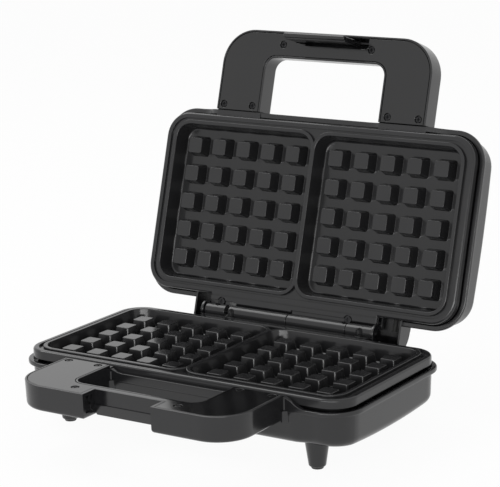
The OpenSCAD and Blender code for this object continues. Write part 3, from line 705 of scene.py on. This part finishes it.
def frontBulge(bm):
    b = bulge
    top, bottom = housing["lipZ"] + b["top"], housing["outerZ"] + b["bottom"]
    small, large = b["topRound"], b["bottomRound"]
    profile = [(b["behind"][0], top)]
    profile += arc((b["topFront"] + small, top - small), small, 90, 180, 4)
    profile += arc((b["bottomFront"] + large, bottom + large), large, 180, 270, 7)
    profile += [(b["behind"][1], bottom)]
    shares = [i / b["steps"] for i in range(b["steps"] + 1)]
    length = b["sunkEnd"] - b["flushEnd"]
    right = [(b["flushEnd"] + length * t, b["sink"] * t ** 2 * (3 - 2 * t)) for t in shares]
    stations = [(-x, sunk) for x, sunk in reversed(right)] + right
    x, sunk = first = stations[0]
    face = bm.faces.new([bm.verts.new((x, y + sunk, z)) for y, z in profile])
    for at, after in zip(stations, stations[1:]):
        face = pull(bm, face, (after[0] - at[0], after[1] - at[1], 0), closed=at == first)


def legFillet(bm, side, x, way, low, high, wallY, radius):
    # hollow fillet where a leg's side runs into the wall; way is 1 on the leg's outer side
    inLeg, inWall = x - seat["inLeg"] * way, wallY + seat["inWall"]
    alongWall, alongLeg = x + (radius + 0.3) * way, wallY - radius - 0.2
    outline = [
        (inLeg, inWall), (alongWall, inWall), (alongWall, wallY),
        (x, wallY), (x, alongLeg), (inLeg, alongLeg),
    ]
    slab(bm, [(side * a, b) for a, b in outline], "z", low, high - low, {3: radius})


def legSeats(bm, filleted):
    for side in (-1, 1):
        boxAtSide(bm, side, seat["low"], seat["high"], seat["edge"])
        if filleted:
            for x, way, upper in zip(seat["legs"], (-1, 1), seat["upperFillets"]):
                legFillet(bm, side, x, way, *upper)
                legFillet(bm, side, x, way, *seat["lowerFillet"])


def cutAtStop(bm):
    # trims an arm along the line on which lid and base meet when fully open
    half = math.radians(hinge["opening"] / 2)
    stop = (0, hinge["behind"], housing["stopZ"])
    cutFlat(bm, [*bm.faces, *bm.edges, *bm.verts], stop, (0, math.sin(half), math.cos(half)), clear=True)


baseArmShape = {
    "front": 61, "top": -8.9, "corner": 6.0, "edge": 0.7, "hollow": (58, -26, 4),
    "cheek": 6.3, "cheekThick": 2, "cheekFoot": -11.0, "cheekTop": -1.5,
}
lidArmShape = {
    # a drum's quarter about (y, z), cut to a box and hollowed
    "centre": (69, -4), "radius": 16, "fillLow": -20.4, "fillTop": -5.0, "keepFront": 60.5, "keepTop": -6.7,
    "skirtRoom": (62.5, -7.5), "hollowFront": 57, "hollowLow": -18,
    "webLow": (58, 61, -13), "webHigh": (0.6, 68, -9),
}


def baseArm():
    a, wall, rear, outer = baseArmShape, housing["armWall"], housing["armRear"], housing["outerZ"]
    left, right = housing["armX"]
    bm, tool = bmesh.new(), bmesh.new()
    outline = [(a["front"], a["top"]), (a["front"], outer), (rear, outer), (rear, a["top"])]
    softEdges(bm, slab(bm, outline, "x", left, right - left, {2: a["corner"]}), a["edge"])
    cutAtStop(bm)
    front, low, high = a["hollow"]
    box(tool, (left + wall, front, low), (right - wall, rear - wall, high))
    carve(bm, tool)
    # cheek round the end of the hinge pin
    behind, cheekEnd = hinge["behind"], left + a["cheekThick"]
    softEdges(bm, rod(bm, a["cheek"], (left, behind, 0), (cheekEnd, behind, 0), 48), 0.4)
    box(bm, (left, behind - a["cheek"], a["cheekFoot"]), (cheekEnd, behind + 1.5, a["cheekTop"]), 0.3)
    return bm


def lidArm():
    # drawn as the lower half is, and turned over with the lid housing
    a, wall = lidArmShape, housing["armWall"]
    left, right = housing["armX"]
    y, z = a["centre"]
    past = 6  # the cutting boxes run on past the arm
    bm, keep, skirtRoom, tool, trim = [bmesh.new() for i in range(5)]
    rod(bm, a["radius"], (left, y, z), (right, y, z), 72)
    box(bm, (left, 60, a["fillLow"]), (right, y, a["fillTop"]))
    box(keep, (left - past, a["keepFront"], -20.5), (right + past, 110, a["keepTop"]))
    carve(bm, keep, "INTERSECT")
    cutAtStop(bm)
    rear, low = a["skirtRoom"]
    box(skirtRoom, (left - past, 50, low), (right + past, rear, 4))
    carve(bm, skirtRoom)
    rod(tool, a["radius"] - wall, (left + wall, y, z), (right - wall, y, z), 72)
    box(tool, (left + wall, a["hollowFront"], a["hollowLow"]), (right - wall, y, 0))
    box(trim, (left - past, 50, a["hollowLow"]), (right + past, 110, 4))
    carve(tool, trim, "INTERSECT")
    carve(bm, tool)
    # web that closes the view past the end of the hinge
    reach, rear, top = a["webHigh"]
    box(bm, a["webLow"], (left + reach, rear, top), 0.4)
    return bm


def housingBody(screws, arm, filleted, mouth):
    h = housing
    bm, tool = housingShell(), bmesh.new()
    frontRim(bm)
    frontBulge(bm)
    legSeats(bm, filleted)
    for x in screws:
        rod(bm, h["bossRadius"], (x, plate["screwY"], h["bossFoot"]), (x, plate["screwY"], h["bossTop"]))
    left, right = h["armX"][0] + h["armWall"], h["armX"][1] - h["armWall"]
    low, rear, high = mouth
    for side in (1, -1):
        one = arm()
        bmesh.ops.scale(one, vec=(side, 1, 1), verts=one.verts)
        join(bm, one)
        # way from the housing into the hollow arm
        boxAtSide(tool, side, (left, 55, low), (right, rear, high))
    carve(bm, tool)
    return bm


baseShell = housingBody(housing["lowerScrews"], baseArm, True, housing["baseMouth"])
lidShell = housingBody(housing["upperScrews"], lidArm, False, housing["lidMouth"])
makePiece("base_shell", baseShell, onBase, "base", "housing_plastic", ["base_housing"], 0.3)
makePiece("lid_shell", lidShell, turnedOver, "lid", "housing_plastic", ["lid_housing"], 0.3)


# grips and their covers
grip = {
    "reach": 123.0, "out": seat["legs"][1], "in": seat["legs"][0], "depth": 18.5,
    "outerCorner": 24.0, "innerCorner": 8.0,
    "split": -1.5, "top": -0.9, "floor": -17.5, "round": 2.5, "draft": 0.5, "root": -66.0, "buried": -58,
    # rolled rim round the cover, as steps inward and up, and the cover inside it
    "rim": 1.3, "rimSteps": [(0.13, 0.42), (0.32, 0.18)], "gap": 0.4, "coverThick": 1.7, "coverEdge": 0.3,
    "lowerScrews": [(76.4, -70), (53.2, -70), (38, -113.2)],
    "upperScrews": [(76.4, -70), (53.2, -70), (34.5, -113.8)],
    "screwRecess": 2.65, "recessDepth": 1.25,
}
for key in ("lowerScrews", "upperScrews"):
    grip[key] += [(-x, y) for x, y in grip[key]]
notch = {
    # where the latch snaps in, with a ledge that it catches; ledgeZ runs down from the wall to its foot
    "half": 25.0, "wall": -110.9, "ledge": -111.6, "ledgeZ": (-10.1, -10.3, -10.9), "foot": (-109.4, -18.5),
    "raisedLow": (27, -122, -6), "raisedRear": -109.9, "corner": 2.5, "coverGap": 2.3, "coverRear": -109.6,
    # shallow hollow end on each side, with a little peg and a rib in it
    "hollow": ((24, -120.5, -14), (26.6, -113.5, -3.2)), "hollowEdge": 0.7,
    "peg": (1.5, -116.4, -5.6), "rib": ((25.3, -121, -9.6), (27, -113, -8.8)),
}
pocket = {"left": -24.5, "right": 32.0, "slot": -17.0, "inner": -113.9, "slotWide": 1.3, "corner": 3.0}


def gripFace(bm, z, inset=0.0):
    g = grip
    out, inner = g["out"] - inset, g["in"] + inset
    front, back, root = -g["reach"] + inset, -g["reach"] + g["depth"] - inset, g["buried"]
    points = [
        (-out, root), (-out, front), (out, front), (out, root),
        (inner, root), (inner, back), (-inner, back), (-inner, root),
    ]
    verts = [bm.verts.new((x, y, z)) for x, y in points]
    bm.faces.new(verts)
    roundCorners(bm, [verts[1], verts[2]], g["outerCorner"] - inset, 14)
    return roundCorners(bm, [verts[5], verts[6]], g["innerCorner"] + inset, 10)


def trimRoot(bm, y):
    cutFlat(bm, [*bm.faces, *bm.edges, *bm.verts], (0, y, 0), (0, 1, 0), clear=True)


def gripShell():
    g = grip
    bm = bmesh.new()
    outside = gripFace(bm, g["split"])
    stepFace(bm, outside, [(g["draft"], g["floor"] + g["round"] - g["split"])] + roundOver(g["round"], -1, 5))
    inside = gripFace(bm, g["split"])
    stepFace(bm, inside, g["rimSteps"] + [(g["rim"] - 0.45, 0), (0.05, -g["coverThick"] - 0.1)])
    mergeDoubles(bm)
    trimRoot(bm, g["root"] - 0.3)
    return bm


def lowerGrip():
    n, half = notch, notch["half"]
    bm, tool, ends = gripShell(), bmesh.new(), bmesh.new()
    # wall round the notch, level with the cover
    x, y, z = n["raisedLow"]
    box(bm, (-x, y, z), (x, n["raisedRear"], grip["top"]))
    over, under, foot = n["ledgeZ"]
    slab(tool, [
        (-130, 3), (n["wall"], 3), (n["wall"], over), (n["ledge"], under), (n["ledge"], foot),
        n["foot"], (-130, n["foot"][1]),
    ], "x", -half, 2 * half)
    carve(bm, tool)
    small, bottom = n["corner"], grip["floor"] + n["corner"]
    for side in (-1, 1):
        # rounded lower corner and hollow end on each side of the notch
        corner = [(half - 0.1, bottom), (half - 0.1, bottom - 4.5), (half + small, bottom - 4.5)]
        corner += arc((half + small, bottom), small, 270, 182, 6)
        slab(ends, [(side * a, b) for a, b in corner], "y", -130, 22)
        boxAtSide(ends, side, *n["hollow"], n["hollowEdge"])
    carve(bm, ends)
    radius, y, z = n["peg"]
    for side in (-1, 1):
        rod(bm, radius, (side * (half + 2), y, z), (side * (half + 0.2), y, z), 20)
        boxAtSide(bm, side, *n["rib"])
    return bm


def cutPocket(tool, front):
    # room for the latch, with a slot along its foot that runs on past the right-hand end
    left, right, slot, inner = [pocket[key] for key in ("left", "right", "slot", "inner")]
    foot = inner - pocket["slotWide"]
    outline = [(left, front), (right, front), (right, inner), (slot, inner), (slot, foot), (left, foot)]
    slab(tool, outline, "z", -12, 15, {2: pocket["corner"]})


def upperGrip():
    bm, tool = gripShell(), bmesh.new()
    cutPocket(tool, -121.3)  # leaves a thin wall in front of the latch
    carve(bm, tool)
    return bm


def cutNotch(tool, front):
    half = notch["half"] + notch["coverGap"]
    box(tool, (-half, front, -5), (half, notch["coverRear"], 2))


def gripCover(screws, cutAway):
    g = grip
    bm, tool = bmesh.new(), bmesh.new()
    inset, edge = g["rim"] + g["gap"], g["coverEdge"]
    under = gripFace(bm, g["top"] - edge, inset)
    stepFace(bm, under, [(0, -g["coverThick"] + edge)])
    over = gripFace(bm, g["top"] - edge, inset)
    stepFace(bm, over, roundOver(edge, 1, 2))
    mergeDoubles(bm)
    trimRoot(bm, g["root"] - 0.35)
    for x, y in screws:
        rod(tool, g["screwRecess"], (x, y, g["top"] - g["recessDepth"]), (x, y, 4))
    cutAway(tool, -130)
    carve(bm, tool)
    return bm


lowerCover = gripCover(grip["lowerScrews"], cutNotch)
upperCover = gripCover(grip["upperScrews"], cutPocket)
makePiece("lower_grip", lowerGrip(), onBase, "base", "housing_plastic", ["lower_handle"], 0.35)
makePiece("upper_grip", upperGrip(), turnedOver, "lid", "housing_plastic", ["upper_handle"], 0.35)
makePiece("lower_grip_cover", lowerCover, onBase, "base", "cover_plastic", ["lower_handle_cover"], 0.2)
makePiece("upper_grip_cover", upperCover, turnedOver, "lid", "cover_plastic", ["upper_handle_cover"], 0.2)


# screws, with each head's top, radius and height and the depth of its shank
coverHeads = {"top": grip["top"] - 0.3, "radius": 2.15, "height": 0.9, "shank": 9.5}
plateHeads = {"top": -0.85, "radius": 2.6, "height": 1.5, "shank": 12.0}
recess = {"long": 1.3, "wide": 0.3, "depth": 0.7}


def crossHead(bm, x, y, top, radius, height):
    # low domed head with a cross recess
    head, tool = bmesh.new(), bmesh.new()
    verts = rod(head, radius, (x, y, top - height), (x, y, top))
    softEdges(head, verts, 0.45, 3, lambda e: all(abs(v.co.z - top) < 0.01 for v in e.verts))
    for a, b in ((recess["wide"], recess["long"]), (recess["long"], recess["wide"])):
        box(tool, (x - a, y - b, top - recess["depth"]), (x + a, y + b, top + 1))
    carve(head, tool)
    join(bm, head)


def headSet(places, top, radius, height, shank):
    bm = bmesh.new()
    for x, y in places:
        crossHead(bm, x, y, top, radius, height)
        rod(bm, 1.2, (x, y, top - shank), (x, y, top - height + 0.2), 16)
    return bm


lowerPlaces = [(x, plate["screwY"]) for x in plate["lowerScrews"]]
upperPlaces = [(x, plate["screwY"]) for x in plate["upperScrews"]]
for name, place, body, places, heads, stands in (
    ("lower_grip_screws", onBase, "base", grip["lowerScrews"], coverHeads, "lower_handle_screws"),
    ("upper_grip_screws", turnedOver, "lid", grip["upperScrews"], coverHeads, "upper_handle_screws"),
    ("lower_hinge_screws", onBase, "base", lowerPlaces, plateHeads, "lower_plate_screws"),
    ("upper_hinge_screws", turnedRound, "lid", upperPlaces, plateHeads, "upper_plate_screws"),
):
    makePiece(name, headSet(places, **heads), place, body, "black_screw", [stands])


# latch
latch = {
    "half": 23.5, "pivot": (-118.5, 5.9), "outer": -119.4, "inner": -115.5, "root": -117.3, "rootZ": -2.2,
    "edge": 0.35, "knuckle": 2.4, "barZ": -17.0, "barRadius": 1.85, "barOut": 0.38,
    "toothHalf": 2.0, "toothOut": 0.45, "toothZ": (-11.9, -12.7, -14.5),
}


def latchClip():
    c, half = latch, latch["half"]
    y, z = c["pivot"]
    bm = bmesh.new()
    # thin where it turns in the pocket, thicker in front of the handle
    profile = [
        (c["outer"], c["barZ"]), (c["outer"], z), (c["root"], z),
        (c["root"], c["rootZ"]), (c["inner"], c["rootZ"]), (c["inner"], c["barZ"]),
    ]
    softEdges(bm, slab(bm, profile, "x", -half, 2 * half), c["edge"])
    barAcross(bm, c["barRadius"], y + c["barOut"], c["barZ"], -half, half, 48, 0.5, 3)
    barAcross(bm, c["knuckle"], y, z, -half, half, 32, 0.4)
    # tooth that snaps under the ledge
    back, tip = c["inner"] - 1, c["inner"] + c["toothOut"]
    top, edge, foot = c["toothZ"]
    tooth = [(back, top), (tip, top), (tip, edge), (back, foot)]
    slab(bm, tooth, "x", -c["toothHalf"], 2 * c["toothHalf"])
    return bm


makePiece("latch_clip", latchClip(), onLid, "latch", "latch_plastic", ["handle_latch"], 0.2)


# feet, which narrow towards the floor
leg = {"hip": 7.7, "toe": 5.3, "edge": 0.9}


def foot(node):
    low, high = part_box(node)
    x, y = (low[0] + high[0]) * 500, (low[1] + high[1]) * 500
    bottom, top = low[2] * 1000, high[2] * 1000
    bm = bmesh.new()
    verts = rod(bm, leg["toe"], (x, y, bottom), (x, y, top), 48, leg["hip"])
    softEdges(bm, verts, leg["edge"], 4, lambda e: all(v.co.z < bottom + 0.1 for v in e.verts))
    return bm


for node in ("front_left_foot", "front_right_foot", "rear_left_foot", "rear_right_foot"):
    makePiece(node.replace("foot", "leg"), foot(node), millimetres, "base", "housing_plastic", [node])

# solids kept from the frame, in their own finishes
slots = {part["node"]: part["material_slot"] for part in frame["record"]["subparts"]}
slots.update({"hinge_pin": "black_screw", "latch_pin": "black_screw"})
for name, node in frame["nodes"].items():
    node.data.materials.clear()
    node.data.materials.append(materials[slots[name]])
print("finishes on the kept solids")


# floor and light
room = {
    "level": 0.5, "paper": "#f7f7f7", "paperHalf": 6, "paperGlow": 0.95, "lampsAim": (0, 0, 0.12),
    "boxes": {
        "left softbox": {"azimuth": -92, "elevation": 54, "distance": 1.4, "size": (0.9, 0.8), "watts": 7.5},
        "low softbox": {"azimuth": 18, "elevation": 9, "distance": 1.6, "size": (1.9, 0.36), "watts": 14.0},
    },
}


def seenDirectly(tree):
    # 1 for what the camera sees, straight or in gloss or through a lens
    path = addNode(tree, "ShaderNodeLightPath")
    seen = path.outputs["Is Camera Ray"]
    for ray in ("Is Glossy Ray", "Is Transmission Ray"):
        seen = addNode(
            tree, "ShaderNodeMath", {"operation": "MAXIMUM"}, links={0: seen, 1: path.outputs[ray]},
        ).outputs[0]
    return seen


def setUpFloor():
    # white paper that glows a little to the camera and still takes the soft shadow
    floor = bpy.data.objects.new("floor", bpy.data.meshes.new("floor"))
    bm = bmesh.new()
    bmesh.ops.create_grid(bm, x_segments=1, y_segments=1, size=room["paperHalf"])
    bm.to_mesh(floor.data)
    bm.free()
    bpy.context.collection.objects.link(floor)
    colour = {"Roughness": 0.9, "Base Color": linear(room["paper"])}
    material, tree, shader = newMaterial("white paper sweep", colour)
    glow = addNode(tree, "ShaderNodeEmission", inputs={"Strength": 1})
    share = addNode(
        tree, "ShaderNodeMath", {"operation": "MULTIPLY"}, {1: room["paperGlow"]}, {0: seenDirectly(tree)},
    )
    mix = addNode(
        tree, "ShaderNodeMixShader",
        links={0: share.outputs[0], 1: shader.outputs[0], 2: glow.outputs[0]},
    )
    tree.links.new(mix.outputs[0], tree.nodes["Material Output"].inputs["Surface"])
    floor.data.materials.append(material)


def setUpWorld():
    world = bpy.data.worlds.new("studio")
    bpy.context.scene.world = world
    world.use_nodes = True
    tree = world.node_tree
    level = addNode(
        tree, "ShaderNodeMapRange",
        inputs={"To Min": room["level"], "To Max": 1}, links={"Value": seenDirectly(tree)},
    )
    tree.nodes["Background"].inputs["Color"].default_value = (1, 1, 1, 1)
    tree.links.new(level.outputs["Result"], tree.nodes["Background"].inputs["Strength"])


def setUpLamps():
    for name, lamp in room["boxes"].items():
        data = bpy.data.lights.new(name, "AREA")
        data.shape = "RECTANGLE"
        data.size, data.size_y = lamp["size"]
        data.energy = lamp["watts"]
        softbox = bpy.data.objects.new(name, data)
        softbox.visible_camera = False
        placeFacing(softbox, room["lampsAim"], lamp["azimuth"], lamp["elevation"], lamp["distance"])


setUpFloor()
setUpWorld()
setUpLamps()
print("floor, world and lamps ready")
bpy.context.scene.view_settings.view_transform = "Standard"

print("scene complete")
